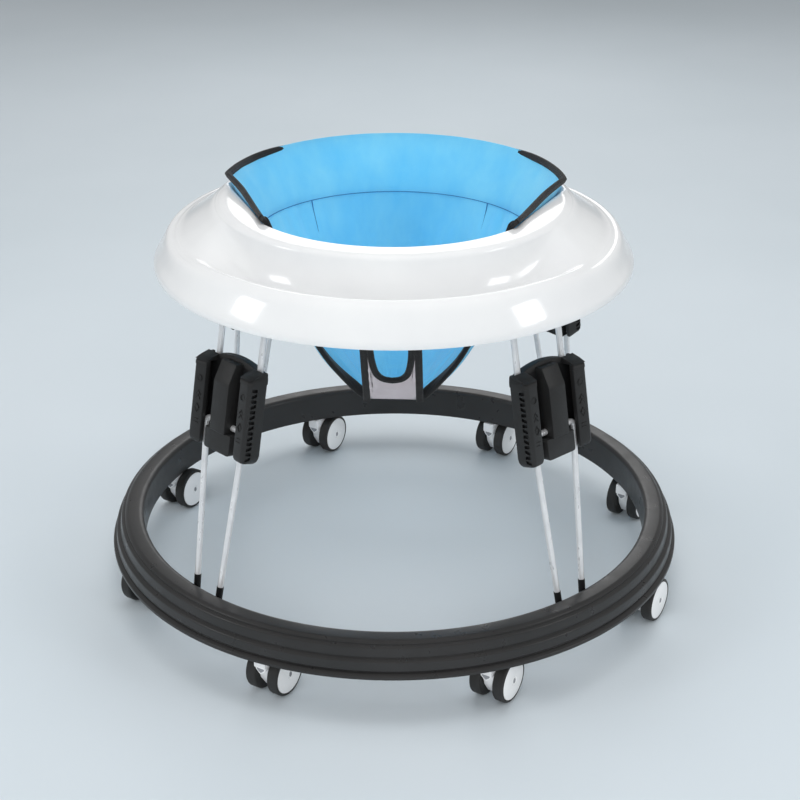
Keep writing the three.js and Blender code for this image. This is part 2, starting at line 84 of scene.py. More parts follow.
def make(name, verts, faces, materials, scale=MM, crease=35, kinds=None, uvs=None):
    """A smooth-shaded mesh object, sharp where its faces meet at more than crease degrees."""
    mesh = bpy.data.meshes.new(name)
    mesh.from_pydata([tuple(c * scale for c in v) for v in verts], [], faces)
    obj = bpy.data.objects.new(name, mesh)
    bpy.context.scene.collection.objects.link(obj)
    for material in materials if isinstance(materials, (list, tuple)) else [materials]:
        mesh.materials.append(material)
    if kinds:
        mesh.polygons.foreach_set("material_index", kinds)
    if uvs:
        layer = mesh.uv_layers.new(name="UVMap")
        for loop in mesh.loops:
            layer.data[loop.index].uv = uvs[loop.vertex_index]
    bm = bmesh.new()
    bm.from_mesh(mesh)
    bmesh.ops.recalc_face_normals(bm, faces=bm.faces)
    bm.to_mesh(mesh)
    bm.free()
    shade(mesh, crease)
    return obj


def place(obj, body, slot, *nodes, matrix=None):
    """Sets the piece on its body and hides the CAD nodes that it stands for; the finish slot is not
    used.
    """
    if matrix is not None:
        obj.data.transform(matrix)
        if matrix.determinant() < 0:
            obj.data.flip_normals()
    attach(obj, body)
    if nodes:
        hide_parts(*nodes)
    return obj


def copy_of(obj, name):
    twin = bpy.data.objects.new(name, obj.data.copy())
    bpy.context.scene.collection.objects.link(twin)
    return twin


def curve_through(points, per_span=6):
    """A Catmull-Rom line through points of any dimension."""
    out = []
    last = len(points) - 1
    for i in range(last):
        p0, p1 = points[max(i - 1, 0)], points[i]
        p2, p3 = points[i + 1], points[min(i + 2, last)]
        for k in range(per_span):
            t = k / per_span
            out.append(tuple(
                0.5 * (2 * b + (c - a) * t + (2 * a - 5 * b + 4 * c - d) * t * t
                       + (3 * b - a - 3 * c + d) * t ** 3)
                for a, b, c, d in zip(p0, p1, p2, p3)
            ))
    return out + [tuple(points[-1])]


def rounded(points, radii, steps=4):
    """An open or closed 2-D outline with its corners rounded; radii follow the points."""
    out = []
    n = len(points)
    for i, (p, r) in enumerate(zip(points, radii)):
        if not r:
            out.append(p)
            continue
        a, b = Vector(points[i - 1]) - Vector(p), Vector(points[(i + 1) % n]) - Vector(p)
        reach = min(r, a.length * 0.49, b.length * 0.49)
        start = Vector(p) + a.normalized() * reach
        end = Vector(p) + b.normalized() * reach
        for k in range(steps + 1):
            t = k / steps
            q = (1 - t) ** 2 * start + 2 * t * (1 - t) * Vector(p) + t * t * end
            out.append((q.x, q.y))
    return out


def revolved(profile_at, segments):
    """Vertices and faces of a closed profile of (radius, height) turned about Z."""
    verts, faces = [], []
    for i in range(segments):
        a = TAU * i / segments
        ring = profile_at(a)
        verts += [(r * math.cos(a), r * math.sin(a), z) for r, z in ring]
    n = len(verts) // segments
    for i in range(segments):
        here, then = i * n, (i + 1) % segments * n
        for j in range(n):
            k = (j + 1) % n
            faces.append((here + j, then + j, then + k, here + k))
    return verts, faces


def turned(profile, segments):
    """A profile of (radius, x) turned about X; it starts and ends on the axis."""
    verts, faces, rows = [], [], []
    for r, x in profile:
        if r < 1e-6:
            rows.append([len(verts)])
            verts.append((x, 0, 0))
        else:
            rows.append(list(range(len(verts), len(verts) + segments)))
            verts += [
                (x, r * math.cos(TAU * i / segments), r * math.sin(TAU * i / segments))
                for i in range(segments)
            ]
    for a, b in zip(rows, rows[1:]):
        for i in range(segments):
            k = (i + 1) % segments
            corners = [a[i % len(a)], a[k % len(a)], b[k % len(b)], b[i % len(b)]]
            faces.append(tuple(dict.fromkeys(corners)))
    return verts, faces


def swept(points, section, closed=False, up=None):
    """Sweeps a 2-D section along points, with frames carried along or held to an up function."""
    pts = [Vector(p) for p in points]
    n, m = len(pts), len(section)
    verts, faces = [], []
    side = None
    for i, p in enumerate(pts):
        before = pts[i - 1] if i or closed else p
        after = pts[(i + 1) % n] if i < n - 1 or closed else p
        along = (after - before).normalized()
        if up:
            side = along.cross(Vector(up(i))).normalized()
        elif side is None:
            side = along.orthogonal().normalized()
        else:
            side = (side - along * side.dot(along)).normalized()
        high = side.cross(along)
        verts += [tuple(p + side * x + high * y) for x, y in section]
    for i in range(n if closed else n - 1):
        here, then = i * m, (i + 1) % n * m
        faces += [
            (here + j, here + (j + 1) % m, then + (j + 1) % m, then + j) for j in range(m)
        ]
    if not closed:
        faces += [tuple(range(m))[::-1], tuple(range((n - 1) * m, n * m))]
    return verts, faces


def circle(radius, sides=20):
    return [(radius * math.cos(TAU * i / sides), radius * math.sin(TAU * i / sides))
            for i in range(sides)]


def slab(width, thick, sides=3):
    """A tape's section: a rectangle with rounded corners."""
    w, t = width / 2, thick / 2
    return rounded([(-w, -t), (w, -t), (w, t), (-w, t)], [t] * 4, sides)


def prism(outline, low, high):
    """Vertices and faces of an outline in (u, v) drawn out along w."""
    n = len(outline)
    verts = [(u, v, low) for u, v in outline] + [(u, v, high) for u, v in outline]
    faces = [(j, (j + 1) % n, n + (j + 1) % n, n + j) for j in range(n)]
    return verts, faces + [tuple(range(n))[::-1], tuple(range(n, 2 * n))]


def merged(*parts):
    verts, faces = [], []
    for v, f in parts:
        faces += [tuple(i + len(verts) for i in face) for face in f]
        verts += v
    return verts, faces


def modified(obj, kind, **values):
    """Adds a modifier and applies it to the mesh."""
    modifier = obj.modifiers.new(kind.lower(), kind)
    for key, value in values.items():
        setattr(modifier, key, value)
    graph = bpy.context.evaluated_depsgraph_get()
    mesh = bpy.data.meshes.new_from_object(obj.evaluated_get(graph))
    obj.modifiers.clear()
    obj.data = mesh
    return obj


# ---- Materials ----
def rgb(r, g, b):
    """A display colour of 0 to 255 as a linear one."""
    return tuple(((c / 255 + 0.055) / 1.055) ** 2.4 if c > 10 else c / 3294.6
                 for c in (r, g, b)) + (1.0,)


class Surface:
    """A Principled material with a few helpers for its nodes."""

    def __init__(self, name, **inputs):
        self.material = bpy.data.materials.new(name)
        self.material.use_nodes = True
        self.nodes = self.material.node_tree.nodes
        self.links = self.material.node_tree.links
        self.shader = self.nodes["Principled BSDF"]
        for key, value in inputs.items():
            self.shader.inputs[key.replace("_", " ")].default_value = value

    def node(self, kind, **inputs):
        made = self.nodes.new("ShaderNode" + kind)
        for key, value in inputs.items():
            socket = made.inputs[key.replace("_", " ")]
            if isinstance(value, bpy.types.NodeSocket):
                self.links.new(value, socket)
            else:
                socket.default_value = value
        return made

    def where(self, use="Object"):
        return self.node("TexCoord").outputs[use]

    def noise(self, scale, detail=3.0, rough=0.55, use="Object", stretch=None):
        at = self.where(use)
        if stretch:
            mapping = self.node("Mapping", Vector=at, Scale=stretch)
            at = mapping.outputs[0]
        made = self.node("TexNoise", Vector=at, Scale=scale, Detail=detail, Roughness=rough)
        return made.outputs["Fac"]

    def ramp(self, value, low, high):
        """Colour or grey from low to high as value goes across its middle range."""
        made = self.node("ValToRGB", Fac=value)
        as_rgba = lambda c: c if isinstance(c, tuple) else (c, c, c, 1)
        made.color_ramp.elements[0].position = 0.3
        made.color_ramp.elements[1].position = 0.7
        made.color_ramp.elements[0].color = as_rgba(low)
        made.color_ramp.elements[1].color = as_rgba(high)
        return made.outputs[0]

    def to(self, socket, output):
        self.links.new(output, self.shader.inputs[socket])

    def bump(self, height, distance, strength=1.0):
        made = self.node("Bump", Height=height, Distance=distance, Strength=strength)
        self.links.new(made.outputs[0], self.shader.inputs["Normal"])


def plastic(name, dark, light, rough, grain, grain_height, **inputs):
    s = Surface(name, **inputs)
    s.to("Base Color", s.ramp(s.noise(9, 4), dark, light))
    s.to("Roughness", s.ramp(s.noise(60, 4), rough[0], rough[1]))
    s.bump(s.noise(grain, 2), grain_height)
    return s.material


def steel():
    s = Surface("plated_steel", Metallic=0.45, Anisotropic=0.2, Coat_Weight=0.3)
    s.to("Base Color", s.ramp(s.noise(40, 4), rgb(222, 223, 225), rgb(240, 240, 241)))
    s.to("Roughness", s.ramp(s.noise(350, 3, stretch=(1, 1, 0.08)), 0.26, 0.38))
    s.bump(s.noise(900, 2, stretch=(1, 1, 0.05)), 0.00003)
    return s.material


def woven(name, dark, light, thread, height, sheen=0.35, crease=0.0):
    """Cloth: two sets of threads across each other, faint creases and uneven dye."""
    s = Surface(name, Sheen_Weight=sheen, Sheen_Roughness=0.45, Specular_IOR_Level=0.25)
    at = s.where("UV")
    waves = []
    for turn in (0.0, math.pi / 2):
        turned_uv = s.node("Mapping", Vector=at, Rotation=(0, 0, turn))
        wave = s.node("TexWave", Vector=turned_uv.outputs[0], Scale=0.314 / thread,
                      Distortion=0.6, Detail=1.0)
        waves.append(wave.outputs["Fac"])
    weave = s.node("MixRGB", Fac=0.5, Color1=waves[0], Color2=waves[1])
    weave.blend_type = "MIX"
    cloudy = s.noise(22, 5, 0.6, stretch=(1, 1, 0.35))
    colour = s.node("MixRGB", Fac=0.22, Color1=s.ramp(cloudy, dark, light),
                    Color2=s.ramp(weave.outputs[0], dark, light))
    s.to("Base Color", colour.outputs[0])
    s.to("Roughness", s.ramp(s.noise(120, 3), 0.78, 0.95))
    fold = s.node("MixRGB", Fac=crease, Color1=weave.outputs[0],
                  Color2=s.noise(26, 3, 0.5, stretch=(1, 1, 0.22)))
    s.bump(fold.outputs[0], height)
    return s.material


RING_PLASTIC = plastic("ring_plastic", rgb(38, 38, 38), rgb(47, 46, 46), (0.26, 0.38), 900,
                       0.00004, Specular_IOR_Level=0.4)
BLOCK_PLASTIC = plastic("adjuster_plastic", rgb(33, 33, 33), rgb(42, 42, 42), (0.38, 0.5), 1400,
                        0.00009, Specular_IOR_Level=0.3)
# Near black: painted shade in the adjusters' slots and the grips' holes, and the black foot sleeves,
# which are partly a painted reflection.
SHADE_AND_SLEEVE_BLACK = plastic("painted_shade_and_sleeve_black", rgb(12, 12, 13), rgb(18, 18, 19), (0.6, 0.75), 900,
                       0.00006)
TRAY_PLASTIC = plastic("tray_plastic", rgb(232, 233, 234), rgb(239, 240, 240), (0.1, 0.17), 60,
                       0.00003, Coat_Weight=0.35, Coat_Roughness=0.04)
CASTER_PLASTIC = plastic("caster_plastic", rgb(236, 237, 238), rgb(246, 246, 247), (0.3, 0.42),
                         500, 0.00004)
HUB_PLASTIC = plastic("hub_plastic", rgb(243, 244, 245), rgb(252, 252, 252), (0.18, 0.28), 400,
                      0.00003, Coat_Weight=0.2)
CAP_GREY = plastic("hub_cap_plastic", rgb(128, 131, 135), rgb(150, 152, 156), (0.35, 0.45), 500,
                   0.00004)
TYRE = plastic("tyre_rubber", rgb(33, 33, 32), rgb(44, 43, 42), (0.5, 0.68), 700, 0.00009)
STEEL = steel()
BLUE = woven("seat_cloth", rgb(104, 206, 255), rgb(136, 222, 255), 0.0011, 0.00035, crease=0.45)
PALE = woven("crotch_cloth", rgb(238, 226, 232), rgb(250, 241, 246), 0.0012, 0.0003)
THREAD = plastic("seam_thread", rgb(52, 118, 172), rgb(66, 134, 188), (0.85, 0.95), 700, 0.0001)
BINDING = woven("binding_tape", rgb(24, 24, 25), rgb(42, 42, 43), 0.0012, 0.0004, sheen=0.15)


# ---- Bumper ring ----
def bumper_ring():
    """A stepped moulding, open underneath, with fine grooves between its bands."""
    r, (z0, z1) = RING_R, RING_Z
    inner = r - RING_WIDTH
    wall = 3
    outer = rounded(
        [(r, z0), (r, z0 + 3.8), (r - 3.2, z0 + 5.4), (r - 5.6, z0 + 6.2), (r - 3.9, z0 + 8.2),
         (r - 4.8, z0 + 19.5), (r - 8.2, z0 + 21), (r - 9.6, z0 + 21.4), (r - 9.4, z0 + 23),
         (r - 11.4, z0 + 33.5), (r - 14.6, z0 + 34.8), (r - 15.8, z0 + 34.9),
         (r - 15.8, z0 + 36.4), (r - 19, z1), (inner + 4, z1), (inner, z1 - 3), (inner, z0)],
        [0.6, 1.2, 0.8, 0.5, 1.4, 1.6, 0.8, 0.4, 1.2, 1.6, 0.8, 0.3, 0.8, 3, 3, 2.5, 0.8],
    )
    under = [(inner + wall, z0), (inner + wall, z1 - 6), (inner + 6, z1 - wall),
             (r - 21, z1 - wall), (r - 18.5, z1 - 8), (r - 13, z0 + 20), (r - 8, z0 + 9),
             (r - wall, z0)]
    profile = outer + under
    shell = revolved(lambda a: profile, 240)
    parts = [shell]
    for i in range(1, 9):
        pos = Vector(JOINTS[f"caster_{i}_swivel"]["pos_m"]) / MM
        tube = rounded([(4.5, z0 + 3), (8, z0 + 3), (8, z1 - 2), (4.5, z1 - 2)], [0.5, 0.5, 0, 0])
        verts, faces = revolved(lambda a, t=tube: t, 32)
        parts.append(([(x + pos.x, y + pos.y, z) for x, y, z in verts], faces))
    return make("bumper_ring", *merged(*parts), RING_PLASTIC, crease=28)


def foot_lugs(name, leg):
    """Two hinge lugs inside the ring that hold the ends of a lower frame."""
    pos = Vector(JOINTS[f"foot_hinge_{leg}"]["pos_m"]) / MM
    a = math.atan2(pos.y, pos.x)
    r = math.hypot(pos.x, pos.y)
    parts = []
    for side in (-1, 1):
        outline = rounded([(r - 6.5, pos.z - 5), (r + 6.5, pos.z - 5),
                           (r + 6.5, RING_Z[1] - 3), (r - 6.5, RING_Z[1] - 3)], [5, 5, 0, 0])
        low, high = sorted((side * 24, side * 36.5))
        verts, faces = prism(outline, low, high)
        parts.append(([(x * math.cos(a) - w * math.sin(a), x * math.sin(a) + w * math.cos(a), z)
                       for x, z, w in verts], faces))
    return make(name, *merged(*parts), RING_PLASTIC)


# ---- Casters ----
WHEEL_R, WHEEL_W, TRAIL = 26, 14, 12
FORK_R, WEB_HALF_WIDTH = 21, 6.3


def tyre_mesh():
    """A round-shouldered tyre about X, recessed on both sides, from 0 to its width."""
    w = WHEEL_W
    profile = [(0, w - 3), (22.4, w - 3), (22.9, w - 0.8)]
    profile += [(WHEEL_R - 2.6 + 2.6 * math.sin(b), w - 2.8 + 2.6 * math.cos(b))
                for b in (math.radians(d) for d in range(0, 91, 15))]
    profile += [(WHEEL_R - 2.4 + 2.4 * math.cos(b), 2.6 - 2.4 * math.sin(b))
                for b in (math.radians(d) for d in range(0, 91, 18))]
    profile += [(16, 0.3), (15, 1.4), (6, 1.4), (5.4, 0), (3.2, 0), (3.2, 4), (0, 4)]
    return turned(profile, 56)


def hub_mesh():
    """The slightly domed disc in a tyre's outer side."""
    w = WHEEL_W
    face = [(0, w + 0.4), (4.1, w + 0.4), (4.4, w - 0.1), (4.9, w - 0.2), (5.3, w + 0.5)]
    dome = [(5.3 + 17.1 * k / 6, w + 0.5 - 1.1 * (k / 6) ** 2) for k in range(1, 7)]
    return turned(face + dome + [(22.7, w - 1.4), (22.7, w - 2.9), (0, w - 2.9)], 56)


def cap_mesh():
    """The small oval cap in the middle of a disc."""
    w = WHEEL_W
    verts, faces = turned([(0, w + 1.0), (2.6, w + 0.95), (3.2, w + 0.6), (3.3, w), (0, w)], 32)
    return [(x, y * 0.72, z) for x, y, z in verts], faces


def fork_mesh():
    """The web between the wheels, the hood in front of them, and the swivel stem."""
    web = [(-TRAIL + FORK_R * math.cos(b), WHEEL_R + FORK_R * math.sin(b))
           for b in (math.radians(d) for d in range(86, 284, 9))]
    web += [(-4, 9), (5, WHEEL_R - 4), (7, WHEEL_R + 4), (7, 51.5)]
    body = prism([(y, z) for y, z in web], -WEB_HALF_WIDTH, WEB_HALF_WIDTH)
    body = ([(w, u, v) for u, v, w in body[0]], body[1])
    hood = prism(rounded([(-7.4, 41), (7.4, 41), (7.4, 53.4), (-7.4, 53.4)], [1.5, 1.5, 0, 0]),
                 -3, 15)
    hood = ([(u, w, v) for u, v, w in hood[0]], hood[1])
    verts, faces = turned([(0, 50), (3.9, 50), (3.9, 83.5), (3, 84), (0, 84)], 24)
    stem = ([(y, z, x) for x, y, z in verts], faces)
    verts, faces = turned([(0, 49), (7.4, 49), (7.4, 56.6), (6.6, 57.4), (0, 57.4)], 32)
    collar = ([(y, z, x) for x, y, z in verts], faces)
    return merged(body, hood, stem, collar)


def lip_mesh(inset, low, high):
    """The pointed lip under the hood, or a smaller outline for the pocket in it."""
    i = inset
    outline = [(-6.8 + i, 42 - i), (6.8 - i, 42 - i), (6.6 - i, 38), (0, 31.5 + 1.3 * i),
               (-6.6 + i, 38)]
    verts, faces = prism(rounded(outline, [0.5, 0.5, 1.5, 1.5, 1.5]), low, high)
    return [(u, w, v) for u, v, w in verts], faces


def casters():
    """Eight casters, each copied from one set of masters and turned as its axle says."""
    tyre = make("tyre_master", *tyre_mesh(), TYRE, crease=40)
    hub = make("hub_master", *hub_mesh(), HUB_PLASTIC, crease=30)
    cap = make("cap_master", *cap_mesh(), CAP_GREY, crease=30)
    fork = make("fork_master", *merged(fork_mesh(), lip_mesh(0, 2, 13.2)), CASTER_PLASTIC, crease=30)
    pocket = make("pocket_master", *lip_mesh(2.0, 12.8, 13.5), CAP_GREY, crease=30)
    modified(fork, "BEVEL", width=0.0011, segments=3, limit_method="ANGLE", angle_limit=0.9)
    shade(fork.data, 40)
    for i in range(1, 9):
        name = f"caster_{i}"
        swivel = Vector(JOINTS[f"{name}_swivel"]["pos_m"])
        axle = Vector(JOINTS[f"{name}_right_spin"]["axis"])
        heading = math.atan2(axle.y, axle.x)
        turn = Matrix.Rotation(heading, 4, "Z")
        here = Matrix.Translation((swivel.x, swivel.y, 0)) @ turn
        place(copy_of(fork, f"{name}_fork_moulding"), name, "caster_plastic", f"{name}_fork",
              matrix=here)
        place(copy_of(pocket, f"{name}_fork_pocket"), name, "caster_plastic", matrix=here)
        for side, flip in (("left", math.pi), ("right", 0.0)):
            centre = Vector(JOINTS[f"{name}_{side}_spin"]["pos_m"])
            body = f"{name}_wheel_{side}"
            inner = Matrix.Translation((-WHEEL_W / 2 * MM, 0, 0))
            at = Matrix.Translation(centre) @ turn @ Matrix.Rotation(flip, 4, "Z") @ inner
            place(copy_of(tyre, f"{body}_tyre"), body, "tyre_rubber", body, matrix=at)
            place(copy_of(hub, f"{body}_hub"), body, "wheel_hub", matrix=at)
            place(copy_of(cap, f"{body}_cap"), body, "caster_plastic", matrix=at)
    for master in (tyre, hub, cap, fork, pocket):
        bpy.data.objects.remove(master)


# ---- Legs ----
WIRE_R = 3.5
CROSSBAR_V, CROSSBAR_HALF = 211.6, 31.5
FOOT_V, FOOT_W, FOOT_HALF, FOOT_END = -12.5, 18, 17.5, 34
UPPER_HALF, UPPER_V, UPPER_W, SOCKET_V = 34, 356, -11, 246
BLOCK_HALF, BLOCK_FOOT, ARCH_FOOT, ARCH_RISE = 41.6, 182, 279, 9
PLATE_W = (-16.5, -5.5)
POCKET_HALF = 38.5
SLOT_U = 12.5
WEB_HALF, WEB_TOP = 21, 206
GAP = 0.1  # between pieces that would otherwise share a face


def leg_frame(leg):
    """The leg's own frame, in metres: u along the ring, v up the leg, w outwards."""
    foot = Vector(JOINTS[f"foot_hinge_{leg}"]["pos_m"])
    out = Vector((foot.x, foot.y, 0)).normalized()
    up = Vector((0, 0, 1))
    v = -math.sin(LEG_LEAN) * out + math.cos(LEG_LEAN) * up
    w = math.cos(LEG_LEAN) * out + math.sin(LEG_LEAN) * up
    u = v.cross(w)
    origin = foot - v * FOOT_V * MM - w * FOOT_W * MM
    matrix = Matrix((u, v, w)).transposed().to_4x4()
    matrix.translation = origin
    return matrix


def bent(corners, bend, steps=8):
    """A line through corners, each rounded by a curve that starts bend before it."""
    out = [Vector(corners[0])]
    for a, p, b in zip(corners, corners[1:], corners[2:]):
        a, p, b = Vector(a), Vector(p), Vector(b)
        start = p + (a - p).normalized() * bend
        end = p + (b - p).normalized() * bend
        for k in range(steps + 1):
            t = k / steps
            out.append((1 - t) ** 2 * start + 2 * t * (1 - t) * p + t * t * end)
    return out + [Vector(corners[-1])]


def lower_wire():
    """The lower frame: the crossbar, two legs and the feet that turn in the ring's lugs."""
    half = [(CROSSBAR_HALF, CROSSBAR_V, 0), (FOOT_HALF, FOOT_V, 0), (FOOT_HALF, FOOT_V, FOOT_W),
            (FOOT_END, FOOT_V, FOOT_W)]
    mirrored = [(-u, v, w) for u, v, w in reversed(half)]
    return swept(bent(mirrored + half, 7), circle(WIRE_R))


def upper_wire():
    """The upper frame: two legs from the adjuster, joined by the bar that turns in the tray."""
    h, v, w, s = UPPER_HALF, UPPER_V, UPPER_W, SOCKET_V + 1
    return swept(bent([(-h, s, w), (-h, v, w), (h, v, w), (h, s, w)], 10), circle(WIRE_R))


def sleeves_and_painted_reflection():
    """Short black sleeves on the feet, where the wire goes behind the ring: partly a real black tip,
    partly a painted reflection of the black ring.
    """
    parts = []
    slope = (CROSSBAR_HALF - FOOT_HALF) / (CROSSBAR_V - FOOT_V)
    for side in (-1, 1):
        line = [(side * (FOOT_HALF + slope * (v - FOOT_V)), v, 0) for v in (2, 3, 25, 26)]
        parts.append(swept(line, circle(WIRE_R + 0.45)))
    return merged(*parts)


def block_back():
    """The adjuster's back plate with its arched top and side walls."""
    h = BLOCK_HALF
    arch = [(h - k * 2 * h / 20, ARCH_FOOT + ARCH_RISE * (1 - (2 * k / 20 - 1) ** 2))
            for k in range(21)]
    outline = rounded([(-h, BLOCK_FOOT), (h, BLOCK_FOOT)], [6, 6]) + arch
    parts = [prism(outline, *PLATE_W)]
    for side in (-1, 1):
        low, high = sorted((side * POCKET_HALF, side * h))
        parts.append(prism([(low, 188), (high, 188), (high, 271), (low, 271)], -6.5, 4.5))
    return merged(*parts)


def block_front():
    """The web below the slots and the raised plate between them, chamfered back at its top."""
    half, foot, top = WEB_HALF, BLOCK_FOOT, WEB_TOP
    web = prism(rounded([(-half, foot), (half, foot), (half, top), (-half, top)], [4, 4, 1, 1]),
                -6.5, 10.4)
    side_line = [(-6, top - 1), (12.4, top - 1), (12.4, 262), (4, 284), (-6, 284)]
    plate_half = SLOT_U - GAP
    plate = prism(rounded([(v, w) for w, v in side_line], [0, 1.5, 2.5, 1.5, 0]),
                  -plate_half, plate_half)
    plate = ([(w, u, v) for u, v, w in plate[0]], plate[1])
    return merged(web, plate)


def painted_slot_shade():
    """Painted shade: near-black faces at the bottom of the two slots, where shade falls."""
    parts = []
    for side in (-1, 1):
        low, high = sorted((side * SLOT_U, side * (POCKET_HALF - GAP)))
        parts.append(prism([(low, 184), (high, 184), (high, 280), (low, 280)], -5.6, -5.1))
    return merged(*parts)


GRIP_MIDDLE = (36.5, 1.0)


def grip_body():
    """A release grip: a rounded bar with a sloping cap and a round toe."""
    section = rounded([(28.4, 5.4), (42.2, 5.4), (42.2, -12.2), (46.6, -12.2), (47.4, 8.6),
                       (44.2, 13), (28.4, 11.2)], [0.4, 0.4, 0.6, 1.8, 2.2, 2.4, 1.5], 3)
    verts, faces = [], []
    levels = [(179, 0.5, 2.0), (179.8, 0.68, 2.0), (181.6, 0.84, 1.5), (184.4, 0.94, 1.0),
              (189, 1.0, 0.0), (270.5, 1.0, 0.0), (270.7, 1.045, 0.0), (275, 1.045, -1.0),
              (281.4, 1.0, -6.6), (283, 0.95, -7.6)]
    for v, swell, slope in levels:
        for u, w in section:
            forward = (w + 12.2) / 25
            verts.append((GRIP_MIDDLE[0] + (u - GRIP_MIDDLE[0]) * swell, v + slope * forward,
                          GRIP_MIDDLE[1] + (w - GRIP_MIDDLE[1]) * swell))
    n = len(section)
    for i in range(len(levels) - 1):
        faces += [(i * n + j, i * n + (j + 1) % n, (i + 1) * n + (j + 1) % n, (i + 1) * n + j)
                  for j in range(n)]
    top = (len(levels) - 1) * n
    bar = (verts, faces + [tuple(range(n))[::-1], tuple(range(top, top + n))])
    side = [(-6.2, 276.8), (9, 276.8), (12.6, 276), (5, 280), (-6.2, 284)]
    verts, faces = prism(rounded(side, [0.3, 0.5, 0.6, 2, 1]), 28.4, 46.4)
    return bar, ([(u, v, w) for w, v, u in verts], faces)


def ladder_holes():
    """Cutters for the row of small holes down the grip's outer side; their near-black faces pass to
    the holes' walls as painted shade.
    """
    parts = []
    for k in range(14):
        v = 187.5 + 6.0 * k
        tilt = 0.7 if k % 2 else -0.7
        outline = rounded([(v - 1.9 - tilt, 1.6), (v + 1.9 - tilt, 1.6), (v + 1.9 + tilt, 9.0),
                           (v - 1.9 + tilt, 9.0)], [0.9] * 4, 2)
        verts, faces = prism(outline, 44.6, 52)
        parts.append(([(w, u, x) for u, x, w in verts], faces))
    return merged(*parts)


def icons():
    """Plain raised marks on the grip's front: a ring, a chevron, a diamond and a bar."""
    w = 12.35
    u = 36.2
    marks = []
    ring = [(u + 3.4 * math.cos(TAU * k / 24), 256 + 3.4 * math.sin(TAU * k / 24), w)
            for k in range(24)]
    marks.append(swept(ring, circle(0.5, 8), closed=True))
    for line in ([(-3.6, 237), (0, 242), (3.6, 237)], [(-3.6, 232), (0, 237), (3.6, 232)],
                 [(-3.4, 209), (3.4, 209)], [(-3.4, 205), (3.4, 205)]):
        marks.append(swept([(u + x, v, w) for x, v in line], circle(0.5, 8)))
    diamond = [(u, 227, w), (u + 3.4, 222, w), (u, 217, w), (u - 3.4, 222, w)]
    marks.append(swept(diamond, circle(0.5, 8), closed=True))
    return merged(*marks)


def soften(obj, width, angle=40):
    """Rounds the edges that are sharper than angle."""
    modified(obj, "BEVEL", width=width, segments=2, limit_method="ANGLE",
             angle_limit=math.radians(angle))
    shade(obj.data, 32)
    return obj


def drilled_grip(name):
    """The grip's bar with its row of holes cut, and its cap."""
    bar, cap = grip_body()
    grip = make(name, *bar, BLOCK_PLASTIC, crease=32)
    # The cutter's near-black faces become the holes' walls: painted shade in the holes.
    cutter = make("grip_cutter", *ladder_holes(), SHADE_AND_SLEEVE_BLACK)
    modified(grip, "BOOLEAN", operation="DIFFERENCE", object=cutter, solver="EXACT",
             material_mode="TRANSFER")
    bpy.data.objects.remove(cutter)
    shade(grip.data, 28)
    return grip, soften(make(f"{name}_cap", *cap, BLOCK_PLASTIC), 0.0007)


def legs():
    """Four legs, each with its two frames, adjuster, grips and lugs."""
    grip, cap = drilled_grip("grip_master")
    for leg in LEGS:
        at = leg_frame(leg)
        lower, upper = f"lower_frame_{leg}", f"upper_frame_{leg}"
        place(make(f"lower_wire_{leg}", *lower_wire(), STEEL), lower, "wire_steel", lower,
              matrix=at)
        # Black sleeves on the feet, partly a painted reflection of the black ring.
        place(make(f"foot_sleeves_and_reflection_{leg}", *sleeves_and_painted_reflection(), SHADE_AND_SLEEVE_BLACK), lower,
              "adjuster_plastic", matrix=at)
        place(make(f"upper_wire_{leg}", *upper_wire(), STEEL), upper, "wire_steel", upper,
              matrix=at)
        back = soften(make(f"adjuster_back_{leg}", *block_back(), BLOCK_PLASTIC), 0.0009)
        place(back, upper, "adjuster_plastic", f"adjuster_body_{leg}", matrix=at)
        front = soften(make(f"adjuster_front_{leg}", *block_front(), BLOCK_PLASTIC), 0.0009)
        place(front, upper, "adjuster_plastic", matrix=at)
        # Near-black sheets in the two slots: painted shade.
        slot_shade = make(f"adjuster_painted_shade_{leg}", *painted_slot_shade(), SHADE_AND_SLEEVE_BLACK)
        place(slot_shade, upper, "adjuster_plastic", matrix=at)
        for side, flip in (("right", 1), ("left", -1)):
            body = f"grip_{side}_{leg}"
            both = at @ Matrix.Diagonal((flip, 1, 1, 1))
            place(copy_of(grip, f"{body}_shell"), body, "adjuster_plastic", body, matrix=both)
            place(copy_of(cap, f"{body}_cap"), body, "adjuster_plastic", matrix=both)
            marks = make(f"{body}_marks", *icons(), BLOCK_PLASTIC)
            place(marks, body, "adjuster_plastic", matrix=both)
        place(foot_lugs(f"foot_lugs_{leg}", leg), "base", "ring_plastic")
    bpy.data.objects.remove(grip)
    bpy.data.objects.remove(cap)


# ---- Tray ----
WALL = 3.4
RIM = 4
SEAT_EDGE, FUNNEL_AZIMUTH = -37.5, 7.5
FUNNEL_R, FUNNEL_DROP = 193, 42


def recess_share(a):
    """1 across the front of the tray, 0 at its sides and back."""
    off = abs((math.degrees(a) + 90 + 180) % 360 - 180)
    return 1 - smoothstep(off, 40, 66)


def polar(r, degrees):
    a = math.radians(degrees)
    return Vector((r * math.cos(a), r * math.sin(a)))


def funnel_at(degrees):
    """The collar's slope under the fabric: outer radius, hole radius, share of its full drop, drop.

    The seat's front edge runs straight from the hole's rim to the corner, and the slope grows
    behind it.
    """
    d = 90 - abs((degrees + 90) % 360 - 180)
    least = HOLE_R + RIM
    share = smoothstep(d, SEAT_EDGE, FUNNEL_AZIMUTH)
    r = FUNNEL_R
    if d < SEAT_EDGE:
        r = least
    elif d < FUNNEL_AZIMUTH:
        start = polar(least, SEAT_EDGE)
        run = polar(FUNNEL_R, FUNNEL_AZIMUTH) - start
        r = start.cross(run) / polar(1, d).cross(run)
    return r, min(HOLE_R, r - RIM), share, mix(RIM, FUNNEL_DROP, share)


